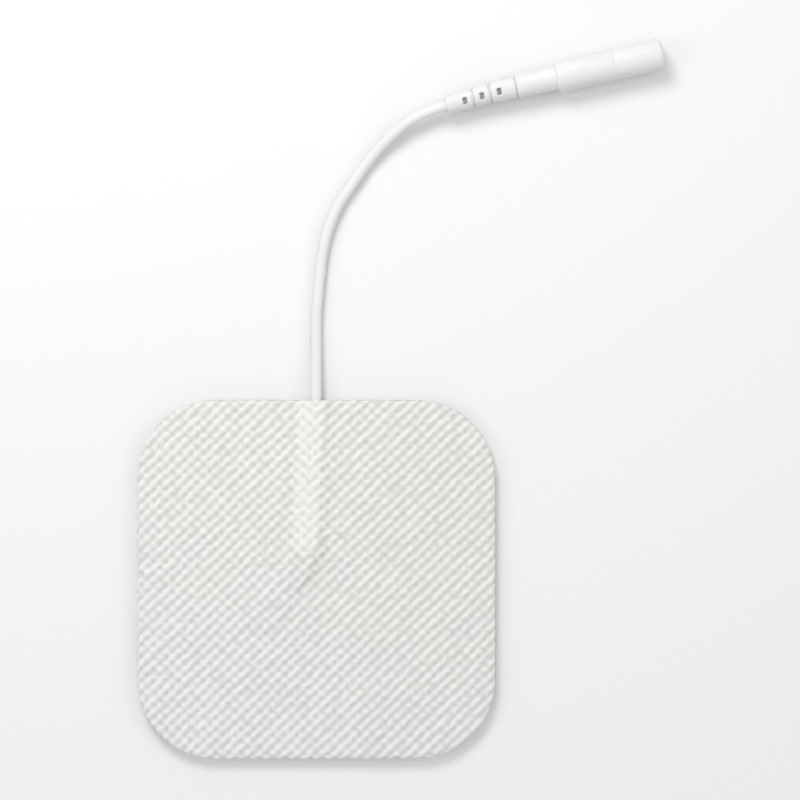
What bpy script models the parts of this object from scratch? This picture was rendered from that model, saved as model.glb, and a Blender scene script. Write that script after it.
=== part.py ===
"""Square stimulation electrode pad with a pigtail lead and a 2 mm pin socket.

The pad lies on its gel, skin side down. From the bottom up it is a slab of
conductive gel, a thin carbon film and a ribbed backing cloth. The lead enters
under the cloth at the middle of one side and presses a trough into the film and
the soft gel. It ends there, and its bare strands fan out on the film. Outside the
pad the lead comes down to the surface, bends away and ends in an overmoulded
socket. Metres, +Z up, origin under the pad's centre.
"""

import math

import bmesh
import bpy
from mathutils import Matrix, Vector

MM = 0.001

# The laminate
PAD_SIDE = 50.0 * MM
PAD_CORNER_RADIUS = 11.0 * MM
CORNER_STEPS = 12
GEL_THICKNESS = 1.2 * MM
GEL_UNDER_LEAD = 0.3 * MM
FILM_THICKNESS = 0.1 * MM
FILM_INSET = 1.0 * MM
CLOTH_THICKNESS = 0.3 * MM
LAMINATE_GAP = 0.05 * MM

# The cloth's diagonal ribs
RIB_PITCH = 1.205 * MM
RIB_HEIGHT = 0.2 * MM
RIB_HEADING = math.radians(45.0)

# The lead and its seven strands
LEAD_DIAMETER = 1.6 * MM
LEAD_POINT_SPACING = 2.5
LEAD_ROUNDNESS = 2
STRAND_ROUNDNESS = 1
STRAND_DIAMETER = 0.22 * MM
STRAND_GAP = 0.08 * MM
STRAND_STUB = 0.3 * MM
STRAND_LENGTH = 12.5 * MM
STRAND_KNEE = 2.5 * MM
STRAND_DROP = 4.0 * MM
STRAND_HEADING = math.radians(233.0)
STRAND_FAN = 0.2 * MM
STRAND_STEPS = 10
FAN_PLACES = (3, 1, -1, -3, -2, 2)

# The ridge that the cloth forms over the lead and the strands, and the trough under them
RIDGE_CLEARANCE = 0.1 * MM
RIDGE_CROWN = 0.25 * MM
RIDGE_WIDE_FOOT = 2.3 * MM
RIDGE_STEEP_FOOT = 1.6 * MM
TROUGH_FOOT = 1.3 * MM
SHAPE_GRID = 0.6 * MM
COARSEST_GRID = 8
GRID_MARGIN = 1.5

# The lead's route seen from above, from its end under the cloth to the socket
ROUTE = [(-0.75, 5.6), (-0.58, 10.0), (-0.35, 16.0), (-0.12, 22.0), (0.0, 25.2), (0.0, 29.5),
         (0.0, 33.1), (0.0, 36.7), (0.15, 38.6), (0.45, 42.0), (0.9, 45.6), (1.55, 48.5),
         (2.5, 51.0), (3.6, 53.1), (5.2, 55.4), (7.0, 58.0), (9.3, 60.7), (12.35, 63.4),
         (15.2, 65.0)]
ROUTE_SAMPLES = 16
DROP_LENGTH = 11.0 * MM
RISE_LENGTH = 9.0 * MM

# The moulded socket: sections along its axis, from the lead's side to the mouth
SOCKET_TIP = (48.2 * MM, 73.2 * MM)
SOCKET_HEADING = math.radians(12.6)
RELIEF_LENGTH = 9.9 * MM
RELIEF_BOW = 0.46 * MM
RELIEF_STEPS = 5
RELIEF_START_WALL = 0.45 * MM
RELIEF_END_WALL = 0.70 * MM
NECK_LENGTH = 5.8 * MM
NECK_WALL = 0.8 * MM
REAR_LENGTH = 8.2 * MM
FRONT_LENGTH = 7.0 * MM
BODY_WALL = 0.8 * MM
BODY_CHAMFER = 0.35 * MM
TIP_ROUNDING = 0.55 * MM
TIP_STEPS = 4
RING_DEPTH = 0.1 * MM
RING_WIDTH = 0.2 * MM
MOULD_GAP = 0.1 * MM
TURNED_STEPS = 32
SHARP_ANGLE = math.radians(35.0)

# The staggered windows in the strain relief
WINDOW_COUNT = 6
WINDOW_START = 2.6 * MM
WINDOW_PITCH = 1.23 * MM
WINDOW_LENGTH = 0.6 * MM
WINDOW_WIDTH = 1.7 * MM

# The contact inside the moulding
PIN_DIAMETER = 2.0 * MM
PIN_CLEARANCE = 0.02 * MM
CONTACT_WALL = 0.28 * MM
CONTACT_BARREL = 11.9 * MM
CONTACT_BORE_DEPTH = 10.8 * MM
CONTACT_SLIT_LENGTH = 5.0 * MM
CONTACT_SLIT_WIDTH = 0.3 * MM
CRIMP_LENGTH = 4.6 * MM
CRIMP_BORE_DEPTH = 4.2 * MM
CRIMP_WALL = 0.25 * MM
MOUTH_LIP = 0.7 * MM
MOUTH_OVERLAP = 0.15 * MM
MOUTH_CHAMFER = 0.2 * MM
CORE_STUB = 0.3 * MM
CORE_SEGMENTS = 16

# Points closer than this are one, and faces that bend less than this are flat
MERGE_DISTANCE = 0.001 * MM
CUT_DISTANCE = 0.0001 * MM
FLAT_ANGLE = 0.001

# Levels and radii that follow from the sizes above
LEAD_RADIUS = LEAD_DIAMETER / 2
STRAND_RADIUS = STRAND_DIAMETER / 2
STRAND_PITCH = STRAND_DIAMETER + STRAND_GAP
CORE_RADIUS = STRAND_PITCH + STRAND_RADIUS
FAN_REACH = max(FAN_PLACES)
FILM_BOTTOM = GEL_THICKNESS + LAMINATE_GAP
FILM_TOP = FILM_BOTTOM + FILM_THICKNESS
CLOTH_BOTTOM = FILM_TOP + LAMINATE_GAP
LEAD_SINK = GEL_THICKNESS - GEL_UNDER_LEAD
LEAD_LEVEL = FILM_TOP + LAMINATE_GAP + LEAD_RADIUS - LEAD_SINK
STRAND_LEVEL = FILM_TOP + LAMINATE_GAP + STRAND_RADIUS
CONTACT_BORE = PIN_DIAMETER / 2 + PIN_CLEARANCE
CONTACT_RADIUS = CONTACT_BORE + CONTACT_WALL
CRIMP_BORE = CORE_RADIUS + MOULD_GAP
CRIMP_RADIUS = CRIMP_BORE + CRIMP_WALL
LEAD_BORE = max(LEAD_RADIUS, CRIMP_RADIUS) + MOULD_GAP
CONTACT_CAVITY = CONTACT_RADIUS + MOULD_GAP
BODY_RADIUS = CONTACT_CAVITY + BODY_WALL
NECK_END = RELIEF_LENGTH + NECK_LENGTH
REAR_END = NECK_END + REAR_LENGTH
SOCKET_LENGTH = REAR_END + FRONT_LENGTH
CAVITY_END = SOCKET_LENGTH - MOUTH_LIP
CONTACT_TIP = CAVITY_END - MOULD_GAP
BARREL_START = CONTACT_TIP - CONTACT_BARREL
CRIMP_START = BARREL_START - CRIMP_LENGTH
LEAD_INSERT_END = CRIMP_START - CORE_STUB

PART_COLLECTION = "electrode_pad"
CUTTER_COLLECTION = "electrode_pad_cutters"


def clear_scene():
    for obj in list(bpy.data.objects):
        bpy.data.objects.remove(obj, do_unlink=True)


def named_collection(name):
    collection = bpy.data.collections.new(name)
    bpy.context.scene.collection.children.link(collection)
    return collection


def material(name, color, roughness, metallic=0.0, transmission=0.0):
    mat = bpy.data.materials.new(name)
    mat.use_nodes = True
    shader = mat.node_tree.nodes["Principled BSDF"]
    shader.inputs["Base Color"].default_value = (*color, 1.0)
    shader.inputs["Roughness"].default_value = roughness
    shader.inputs["Metallic"].default_value = metallic
    shader.inputs["Transmission Weight"].default_value = transmission
    mat.diffuse_color = (*color, 1.0)
    return mat


def add_object(name, data, mat, parent=None):
    obj = bpy.data.objects.new(name, data)
    bpy.data.collections[PART_COLLECTION].objects.link(obj)
    if mat:
        data.materials.append(mat)
    if parent:
        obj.parent = parent
    return obj


def evaluated_mesh(obj):
    graph = bpy.context.evaluated_depsgraph_get()
    return bpy.data.meshes.new_from_object(obj.evaluated_get(graph))


def smooth(t):
    t = min(max(t, 0.0), 1.0)
    return t * t * (3.0 - 2.0 * t)


def mix(a, b, t):
    return a + (b - a) * t


def outline_curve(name, side, radius):
    """A flat square with round corners, as a filled 2D curve."""
    curve = bpy.data.curves.new(name, "CURVE")
    curve.dimensions = "2D"
    curve.fill_mode = "BOTH"
    points = []
    reach = side / 2 - radius
    for corner in range(4):
        start = corner * math.pi / 2
        center = Vector((reach, reach))
        center.rotate(Matrix.Rotation(start, 2))
        for step in range(CORNER_STEPS + 1):
            angle = start + step / CORNER_STEPS * math.pi / 2
            points.append(center + radius * Vector((math.cos(angle), math.sin(angle))))
    spline = curve.splines.new("POLY")
    spline.points.add(len(points) - 1)
    for point, place in zip(spline.points, points):
        point.co = (place.x, place.y, 0.0, 1.0)
    spline.use_cyclic_u = True
    return curve


def tube(name, points, radius, roundness, mat):
    curve = bpy.data.curves.new(name, "CURVE")
    curve.dimensions = "3D"
    curve.bevel_depth = radius
    curve.bevel_resolution = roundness
    curve.use_fill_caps = True
    spline = curve.splines.new("POLY")
    spline.points.add(len(points) - 1)
    for point, place in zip(spline.points, points):
        point.co = (*place, 1.0)
    return add_object(name, curve, mat)


def socket_frame():
    """The socket's axes: local Z along it towards the mouth, local X up."""
    along = Vector((math.cos(SOCKET_HEADING), math.sin(SOCKET_HEADING), 0.0))
    up = Vector((0.0, 0.0, 1.0))
    side = along.cross(up)
    start = Vector((*SOCKET_TIP, BODY_RADIUS)) - along * SOCKET_LENGTH
    frame = Matrix((up, side, along)).transposed().to_4x4()
    frame.translation = start
    return frame


def relief_bow(z):
    """Sideways bend of the flexible strain relief, zero from its root on."""
    left = max(RELIEF_LENGTH - z, 0.0) / RELIEF_LENGTH
    return RELIEF_BOW * left * left


def lead_height(y):
    """Centre height of the lead: in the trough, then on the floor, then up to the socket."""
    exit_y = PAD_SIDE / 2
    relief_y = socket_frame().translation.y
    down = smooth((y - exit_y) / DROP_LENGTH)
    up = smooth((y - relief_y + RISE_LENGTH) / RISE_LENGTH)
    on_pad = mix(LEAD_LEVEL, LEAD_RADIUS, down)
    return mix(on_pad, BODY_RADIUS, up)


def lead_points():
    """Centre points of the lead: read from a smooth curve outside, on the axis inside."""
    route = [Vector((x * MM, y * MM, lead_height(y * MM))) for x, y in ROUTE]
    spacing = LEAD_POINT_SPACING * LEAD_DIAMETER
    steps = math.ceil(LEAD_INSERT_END / spacing)
    frame = socket_frame()
    inside = []
    for step in range(steps + 1):
        z = step / steps * LEAD_INSERT_END
        inside.append(frame @ Vector((0.0, relief_bow(z), z)))
    outside = smooth_through(route + inside[:1], spacing)
    for point in outside:
        point.z = max(point.z, LEAD_RADIUS)
    return outside + inside[1:]


def smooth_through(points, spacing):
    """Evenly spaced points on a Catmull-Rom curve through the given ones."""
    ends = [2 * points[0] - points[1]] + points + [2 * points[-1] - points[-2]]
    fine = []
    for a, b, c, d in zip(ends, ends[1:], ends[2:], ends[3:]):
        for step in range(ROUTE_SAMPLES):
            t = step / ROUTE_SAMPLES
            bend = (2 * a - 5 * b + 4 * c - d) * t * t + (3 * b - a - 3 * c + d) * t ** 3
            fine.append((2 * b + (c - a) * t + bend) / 2)
    fine.append(points[-1])
    lengths = [0.0]
    for a, b in zip(fine, fine[1:]):
        lengths.append(lengths[-1] + (b - a).length)
    count = max(2, round(lengths[-1] / spacing))
    result = []
    index = 0
    for step in range(count + 1):
        target = lengths[-1] * step / count
        while index < len(fine) - 2 and lengths[index + 1] < target:
            index += 1
        share = (target - lengths[index]) / (lengths[index + 1] - lengths[index])
        result.append(fine[index].lerp(fine[index + 1], share))
    return result


def lead_end_frame():
    """Where the lead ends under the cloth, and the heading it ends with."""
    end = Vector(ROUTE[0]) * MM
    heading = (end - Vector(ROUTE[1]) * MM).normalized()
    return end, heading


def strand_curve():
    """Start, knee and tip of the middle of the fan, seen from above."""
    end, heading = lead_end_frame()
    start = end + heading * STRAND_STUB
    knee = start + heading * STRAND_KNEE
    away = Vector((math.cos(STRAND_HEADING), math.sin(STRAND_HEADING)))
    return start, knee, knee + away * (STRAND_LENGTH - STRAND_KNEE)


def strand_center(t):
    start, knee, tip = strand_curve()
    return start.lerp(knee, t).lerp(knee.lerp(tip, t), t)


def strand_side(t):
    """Unit direction across the fan."""
    start, knee, tip = strand_curve()
    ahead = (knee - start).lerp(tip - knee, t)
    return Vector((-ahead.y, ahead.x)).normalized()


def strand_fall(t):
    """0 where the strands are still a round bundle, 1 where they lie flat on the film."""
    return smooth(t * STRAND_LENGTH / STRAND_DROP)


def strand_layout():
    """Place in the round bundle and in the fan, for the middle strand and six around it."""
    layout = [(0.0, 0.0, 0)]
    for place, fan in enumerate(FAN_PLACES):
        angle = place * math.pi / 3
        layout.append((STRAND_PITCH * math.cos(angle), STRAND_PITCH * math.sin(angle), fan))
    return layout


def strand_points(across, above, fan):
    points = []
    for step in range(STRAND_STEPS + 1):
        t = step / STRAND_STEPS
        fall = strand_fall(t)
        offset = mix(across, fan * STRAND_PITCH, fall) + fan * STRAND_FAN * t * t
        place = strand_center(t) + strand_side(t) * offset
        points.append((*place, mix(LEAD_LEVEL + above, STRAND_LEVEL, fall)))
    return points


def buried_path():
    """Lead and strands in plan: place, half width, top above the cloth's underside, sinking."""
    end, heading = lead_end_frame()
    lead_top = LEAD_LEVEL + LEAD_RADIUS - CLOTH_BOTTOM
    path = []
    for place in (Vector((0.0, PAD_SIDE)), Vector((0.0, PAD_SIDE / 2)), end + heading * STRAND_STUB):
        path.append((place, RIDGE_CROWN, lead_top, LEAD_SINK))
    for step in range(1, STRAND_STEPS + 1):
        t = step / STRAND_STEPS
        fall = strand_fall(t)
        top = mix(LEAD_LEVEL + STRAND_PITCH, STRAND_LEVEL, fall) + STRAND_RADIUS - CLOTH_BOTTOM
        spread = mix(STRAND_PITCH, FAN_REACH * STRAND_PITCH, fall) + FAN_REACH * STRAND_FAN * t * t
        path.append((strand_center(t), spread + STRAND_RADIUS, top, LEAD_SINK * (1.0 - fall)))
    return path


def ridge_path():
    """Plan points of the ridge in the cloth: place, half width of its crown, height."""
    return [(place, half, top + RIDGE_CLEARANCE) for place, half, top, _ in buried_path()]


def trough_path():
    """Plan points of the trough in the film and the gel: place, half width, depth."""
    return [(place, half, sink) for place, half, _, sink in buried_path()]


def swell(place, path, left_foot, right_foot):
    """Height at a place in plan of a smooth ridge along the path, with a foot on each side."""
    height = 0.0
    for (a, half_a, top_a), (b, half_b, top_b) in zip(path, path[1:]):
        along = b - a
        t = min(max((place - a).dot(along) / along.length_squared, 0.0), 1.0)
        offset = place - a.lerp(b, t)
        foot = left_foot if along.x * offset.y > along.y * offset.x else right_foot
        slope = smooth((offset.length - mix(half_a, half_b, t)) / foot)
        height = max(height, mix(top_a, top_b, t) * (1.0 - slope))
    return height


def ridge_height(place, path):
    """The ridge is steep on the path's left, which is the pad's +X side, and wide on the other."""
    return swell(place, path, RIDGE_STEEP_FOOT, RIDGE_WIDE_FOOT)


def trough_depth(place, path):
    return swell(place, path, TROUGH_FOOT, TROUGH_FOOT)


def rib_height(place):
    across = place.x * -math.sin(RIB_HEADING) + place.y * math.cos(RIB_HEADING)
    share = across / RIB_PITCH % 1.0
    return RIB_HEIGHT * abs(2.0 * share - 1.0)


def cut_lines(bm, faces, heading, spacing):
    """Cuts the faces along evenly spaced straight lines with the given heading."""
    normal = Vector((-math.sin(heading), math.cos(heading), 0.0))
    distances = [vert.co.dot(normal) for face in faces for vert in face.verts]
    first = math.ceil(min(distances) / spacing)
    last = math.floor(max(distances) / spacing)
    for index in range(first, last + 1):
        geometry = set(faces)
        for face in faces:
            geometry.update(face.edges)
            geometry.update(face.verts)
        result = bmesh.ops.bisect_plane(bm, geom=list(geometry), dist=CUT_DISTANCE,
                                        plane_co=normal * index * spacing, plane_no=normal)
        faces = [item for item in result["geom"] if isinstance(item, bmesh.types.BMFace)]
    return faces


def near_path(face, path, reach):
    center = face.calc_center_median().xy
    for (a, _, _), (b, _, _) in zip(path, path[1:]):
        along = b - a
        t = min(max((center - a).dot(along) / along.length_squared, 0.0), 1.0)
        if (center - a.lerp(b, t)).length < reach:
            return True
    return False


def refine_near_path(bm, path):
    """Cuts a sheet along and across the ribs, ever finer, but only near the path."""
    widest = max(half for _, half, _ in path) + RIDGE_WIDE_FOOT
    grid = COARSEST_GRID
    while grid >= 1:
        reach = widest + GRID_MARGIN * grid * SHAPE_GRID
        near = [face for face in bm.faces if grid == COARSEST_GRID or near_path(face, path, reach)]
        near = cut_lines(bm, near, RIB_HEADING, grid * RIB_PITCH / 2)
        cut_lines(bm, near, RIB_HEADING + math.pi / 2, grid * SHAPE_GRID)
        grid //= 2


def laminate_sheet(name, side, radius, bottom, top, mat, ribbed=False):
    """A flat outline raised to the heights that bottom and top give at each place in plan."""
    outline = add_object(name, outline_curve(name, side, radius), None)
    mesh = evaluated_mesh(outline)
    bpy.data.objects.remove(outline, do_unlink=True)

    bm = bmesh.new()
    bm.from_mesh(mesh)
    bmesh.ops.remove_doubles(bm, verts=bm.verts, dist=MERGE_DISTANCE)
    bmesh.ops.dissolve_limit(bm, angle_limit=FLAT_ANGLE, verts=bm.verts, edges=bm.edges)
    if ribbed:
        cut_lines(bm, bm.faces[:], RIB_HEADING, RIB_PITCH / 2)
    refine_near_path(bm, ridge_path())
    lower = bm.verts[:]
    raised = bmesh.ops.extrude_face_region(bm, geom=bm.faces[:])
    upper = [item for item in raised["geom"] if isinstance(item, bmesh.types.BMVert)]
    for vert in lower:
        vert.co.z = bottom(vert.co.xy)
    for vert in upper:
        vert.co.z = top(vert.co.xy)
    bmesh.ops.recalc_face_normals(bm, faces=bm.faces)
    bmesh.ops.dissolve_limit(bm, angle_limit=FLAT_ANGLE, verts=bm.verts, edges=bm.edges)
    bm.to_mesh(mesh)
    bm.free()
    return add_object(name, mesh, mat)


def laminate(gel_mat, film_mat, cloth_mat):
    """Gel, film and cloth: the lead lies in a trough of the first two, under a ridge of the third."""
    ridge = ridge_path()
    trough = trough_path()
    laminate_sheet("gel_layer", PAD_SIDE, PAD_CORNER_RADIUS,
                   lambda place: 0.0,
                   lambda place: GEL_THICKNESS - trough_depth(place, trough), gel_mat)
    laminate_sheet("carbon_film", PAD_SIDE - 2 * FILM_INSET, PAD_CORNER_RADIUS - FILM_INSET,
                   lambda place: FILM_BOTTOM - trough_depth(place, trough),
                   lambda place: FILM_TOP - trough_depth(place, trough), film_mat)
    cloth_top = CLOTH_BOTTOM + CLOTH_THICKNESS
    laminate_sheet("backing_cloth", PAD_SIDE, PAD_CORNER_RADIUS,
                   lambda place: CLOTH_BOTTOM + ridge_height(place, ridge),
                   lambda place: cloth_top + ridge_height(place, ridge) + rib_height(place),
                   cloth_mat, ribbed=True)


def turned(name, profile, mat, parent):
    """A closed profile of (radius, height) points turned about local Z."""
    mesh = bpy.data.meshes.new(name)
    bm = bmesh.new()
    verts = [bm.verts.new((radius, 0.0, height)) for radius, height in profile]
    for a, b in zip(verts, verts[1:] + verts[:1]):
        bm.edges.new((a, b))
    bm.to_mesh(mesh)
    bm.free()
    obj = add_object(name, mesh, mat, parent)
    screw = obj.modifiers.new("turn", "SCREW")
    screw.axis = "Z"
    screw.steps = TURNED_STEPS
    screw.render_steps = TURNED_STEPS
    screw.use_merge_vertices = True
    screw.merge_threshold = MERGE_DISTANCE
    return obj


def cutter_box(name, size, place, parent):
    mesh = bpy.data.meshes.new(name)
    bm = bmesh.new()
    bmesh.ops.create_cube(bm, size=1.0, matrix=Matrix.Diagonal((*size, 1.0)))
    bm.to_mesh(mesh)
    bm.free()
    box = bpy.data.objects.new(name, mesh)
    bpy.data.collections[CUTTER_COLLECTION].objects.link(box)
    box.parent = parent
    box.location = place
    box.hide_render = True
    box.display_type = "WIRE"
    return box


def cut(obj, cutter):
    boolean = obj.modifiers.new(cutter.name, "BOOLEAN")
    boolean.operation = "DIFFERENCE"
    boolean.solver = "EXACT"
    boolean.object = cutter


def bake(obj):
    """Replaces an object's mesh by its evaluated one and drops its modifiers."""
    mesh = evaluated_mesh(obj)
    obj.modifiers.clear()
    obj.data = mesh


def shell_profile():
    """The moulding's section: outside from the tip back, then inside to the tip."""
    relief_start = LEAD_BORE + RELIEF_START_WALL
    relief_end = LEAD_BORE + RELIEF_END_WALL
    neck = LEAD_BORE + NECK_WALL
    mouth = CONTACT_RADIUS - MOUTH_OVERLAP
    profile = []
    for step in range(TIP_STEPS + 1):
        angle = step / TIP_STEPS * math.pi / 2
        radius = BODY_RADIUS - TIP_ROUNDING * (1.0 - math.sin(angle))
        profile.append((radius, SOCKET_LENGTH - TIP_ROUNDING * (1.0 - math.cos(angle))))
    profile += [(BODY_RADIUS, REAR_END + RING_WIDTH),
                (BODY_RADIUS - RING_DEPTH, REAR_END + RING_WIDTH),
                (BODY_RADIUS - RING_DEPTH, REAR_END),
                (BODY_RADIUS, REAR_END),
                (BODY_RADIUS, NECK_END + BODY_CHAMFER),
                (BODY_RADIUS - BODY_CHAMFER, NECK_END),
                (neck, NECK_END),
                (neck, RELIEF_LENGTH + RING_WIDTH),
                (relief_end - RING_DEPTH, RELIEF_LENGTH + RING_WIDTH),
                (relief_end - RING_DEPTH, RELIEF_LENGTH)]
    shares = [step / RELIEF_STEPS for step in range(RELIEF_STEPS + 1)]
    profile += [(mix(relief_start, relief_end, t), t * RELIEF_LENGTH) for t in reversed(shares)]
    profile += [(LEAD_BORE, t * RELIEF_LENGTH) for t in shares]
    profile += [(LEAD_BORE, BARREL_START - MOULD_GAP),
                (CONTACT_CAVITY, BARREL_START - MOULD_GAP),
                (CONTACT_CAVITY, CAVITY_END),
                (mouth, CAVITY_END),
                (mouth, SOCKET_LENGTH - MOUTH_CHAMFER),
                (mouth + MOUTH_CHAMFER, SOCKET_LENGTH)]
    return profile


def connector_shell(mat, frame):
    """Strain relief, neck and body in one moulding, bored for the lead and the contact."""
    shell = turned("connector_shell", shell_profile(), mat, frame)
    across = 2 * BODY_RADIUS
    for index in range(WINDOW_COUNT):
        size = (across, WINDOW_WIDTH, WINDOW_LENGTH)
        if index % 2:
            size = (WINDOW_WIDTH, across, WINDOW_LENGTH)
        place = (0.0, 0.0, WINDOW_START + index * WINDOW_PITCH)
        cut(shell, cutter_box(f"relief_window_{index + 1}", size, place, frame))
    bake(shell)
    for vert in shell.data.vertices:
        vert.co.y += relief_bow(vert.co.z)
    shell.data.shade_smooth()
    shell.data.set_sharp_from_angle(angle=SHARP_ANGLE)
    return shell


def contact_socket(mat, frame):
    """Turned pin contact: a slit barrel in front, a crimp barrel behind."""
    profile = [(CONTACT_RADIUS, CONTACT_TIP),
               (CONTACT_RADIUS, BARREL_START),
               (CRIMP_RADIUS, BARREL_START),
               (CRIMP_RADIUS, CRIMP_START),
               (CRIMP_BORE, CRIMP_START),
               (CRIMP_BORE, CRIMP_START + CRIMP_BORE_DEPTH),
               (0.0, CRIMP_START + CRIMP_BORE_DEPTH),
               (0.0, CONTACT_TIP - CONTACT_BORE_DEPTH),
               (CONTACT_BORE, CONTACT_TIP - CONTACT_BORE_DEPTH),
               (CONTACT_BORE, CONTACT_TIP)]
    contact = turned("contact_socket", profile, mat, frame)
    across = 4 * CONTACT_RADIUS
    reach = 2 * CONTACT_SLIT_LENGTH
    for index, size in enumerate(((across, CONTACT_SLIT_WIDTH, reach),
                                  (CONTACT_SLIT_WIDTH, across, reach))):
        cut(contact, cutter_box(f"contact_slit_{index + 1}", size, (0.0, 0.0, CONTACT_TIP), frame))
    bake(contact)
    contact.data.shade_smooth()
    contact.data.set_sharp_from_angle(angle=SHARP_ANGLE)
    return contact


def conductor_end(mat, frame):
    """The lead's twisted core where it sits in the crimp barrel."""
    start = LEAD_INSERT_END + CORE_STUB / 2
    length = CRIMP_START + CRIMP_BORE_DEPTH - MOULD_GAP - start
    mesh = bpy.data.meshes.new("conductor_end")
    bm = bmesh.new()
    bmesh.ops.create_cone(bm, cap_ends=True, segments=CORE_SEGMENTS, radius1=CORE_RADIUS,
                          radius2=CORE_RADIUS, depth=length)
    bm.to_mesh(mesh)
    bm.free()
    core = add_object("conductor_end", mesh, mat, frame)
    core.location.z = start + length / 2
    return core


def main():
    clear_scene()
    named_collection(PART_COLLECTION)
    named_collection(CUTTER_COLLECTION)

    gel = material("hydrogel", (0.72, 0.76, 0.76), 0.25, transmission=0.6)
    carbon = material("carbon_film", (0.02, 0.02, 0.022), 0.55)
    cloth = material("backing_cloth", (0.76, 0.765, 0.74), 0.9)
    jacket = material("lead_pvc", (0.88, 0.88, 0.87), 0.35)
    moulding = material("moulded_pvc", (0.90, 0.90, 0.90), 0.3)
    tinned = material("tinned_copper", (0.75, 0.72, 0.68), 0.3, metallic=1.0)
    nickel = material("nickel_plate", (0.78, 0.76, 0.72), 0.2, metallic=1.0)

    laminate(gel, carbon, cloth)
    tube("lead_jacket", lead_points(), LEAD_RADIUS, LEAD_ROUNDNESS, jacket)
    for number, (across, above, fan) in enumerate(strand_layout(), start=1):
        points = strand_points(across, above, fan)
        tube(f"strand_{number}", points, STRAND_RADIUS, STRAND_ROUNDNESS, tinned)

    frame = bpy.data.objects.new("socket_frame", None)
    bpy.data.collections[PART_COLLECTION].objects.link(frame)
    frame.matrix_world = socket_frame()
    connector_shell(moulding, frame)
    contact_socket(nickel, frame)
    conductor_end(tinned, frame)


main()
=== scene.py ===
import math

import bmesh
import bpy
import numpy as np
from mathutils import Matrix, Vector, noise


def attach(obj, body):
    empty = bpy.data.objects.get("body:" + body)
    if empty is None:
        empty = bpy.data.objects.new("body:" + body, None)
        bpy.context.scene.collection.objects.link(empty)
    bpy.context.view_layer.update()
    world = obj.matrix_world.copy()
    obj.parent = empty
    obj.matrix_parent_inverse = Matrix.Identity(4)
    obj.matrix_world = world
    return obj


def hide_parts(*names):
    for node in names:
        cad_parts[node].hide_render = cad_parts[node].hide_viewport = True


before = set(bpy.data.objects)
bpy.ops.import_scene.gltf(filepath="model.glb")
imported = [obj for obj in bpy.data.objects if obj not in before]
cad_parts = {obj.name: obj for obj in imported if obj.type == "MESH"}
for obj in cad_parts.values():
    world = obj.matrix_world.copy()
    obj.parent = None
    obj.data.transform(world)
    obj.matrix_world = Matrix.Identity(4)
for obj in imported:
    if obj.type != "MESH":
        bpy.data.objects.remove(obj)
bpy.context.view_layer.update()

MM = 0.001

# The laminate, as in the solids
PAD_SIDE = 50.0 * MM
PAD_CORNER_RADIUS = 11.0 * MM
GEL_THICKNESS = 1.2 * MM
GEL_UNDER_LEAD = 0.3 * MM
FILM_THICKNESS = 0.1 * MM
CLOTH_THICKNESS = 0.3 * MM
LAMINATE_GAP = 0.05 * MM
CLOTH_BOTTOM = GEL_THICKNESS + FILM_THICKNESS + 2 * LAMINATE_GAP
LEAD_SINK = GEL_THICKNESS - GEL_UNDER_LEAD

# The cloth: two families of diagonal ribs, a lattice of knots where they cross
LATTICE_X = 1.74 * MM
LATTICE_Y = 1.67 * MM
RIB_HEIGHT = 0.2 * MM
CROSS_RIB_HEIGHT = 0.09 * MM
RIB_POWER = 0.8
CROSS_LEFT = 1.1
CROSS_LOSS = 0.4
EDGE_RIB_SHARE = 0.35
CLOTH_STEP = 0.2 * MM
CLOTH_BULGE = 0.03 * MM
LEAN_WIDTH = 12.0 * MM
PULLED_LOSS = 0.6
PULLED_GAIN = 0.9
EDGE_PINCH = 0.8 * MM
EDGE_DROP = 0.12 * MM
EDGE_FRAY = 0.16 * MM

# How the cloth varies from place to place: middle, swing, size and seed of a noise
PULLED_VARIES = (0.85, 0.6, 1.6 * MM, 6.3)
RIBS_DRIFT = (0.0, 0.7, 4.0 * MM, 1.7)
RIBS_VARY = (1.0, 0.9, 0.75 * MM, 4.2)
KNOTS_VARY = (1.0, 1.1, 0.9 * MM, 9.1)
EDGE_VARIES = (0.5, 0.5, 0.5 * MM, 2.8)

# The gel and the slabs' meshes
GEL_STEP = 0.5 * MM
GEL_INSET = 0.12 * MM
GEL_RINGS = [(0.08, 0.08 * MM), (0.3, 0.11 * MM), (0.7, 0.11 * MM), (0.92, 0.08 * MM)]
SNAP_SHARE = 0.35
FLAT_ANGLE = 0.002
UNPAINTED = 0.3
SLAB_SHARP_ANGLE = math.radians(50.0)
TURNED_SHARP_ANGLE = math.radians(32.0)

# The lead
LEAD_RADIUS = 0.8 * MM
LEAD_LEVEL = CLOTH_BOTTOM + LEAD_RADIUS - LEAD_SINK
ROUTE = [(-0.75, 5.6), (-0.58, 10.0), (-0.35, 16.0), (-0.12, 22.0), (0.0, 25.2), (0.0, 29.5),
         (0.0, 33.1), (0.0, 36.7), (0.15, 38.6), (0.45, 42.0), (0.9, 45.6), (1.55, 48.5),
         (2.5, 51.0), (3.6, 53.1), (5.2, 55.4), (7.0, 58.0), (9.3, 60.7), (12.35, 63.4),
         (15.2, 65.0)]
DROP_LENGTH = 11.0 * MM
RISE_LENGTH = 9.0 * MM
LEAD_STEP = 1.0 * MM
CURVE_STEPS = 16

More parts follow.
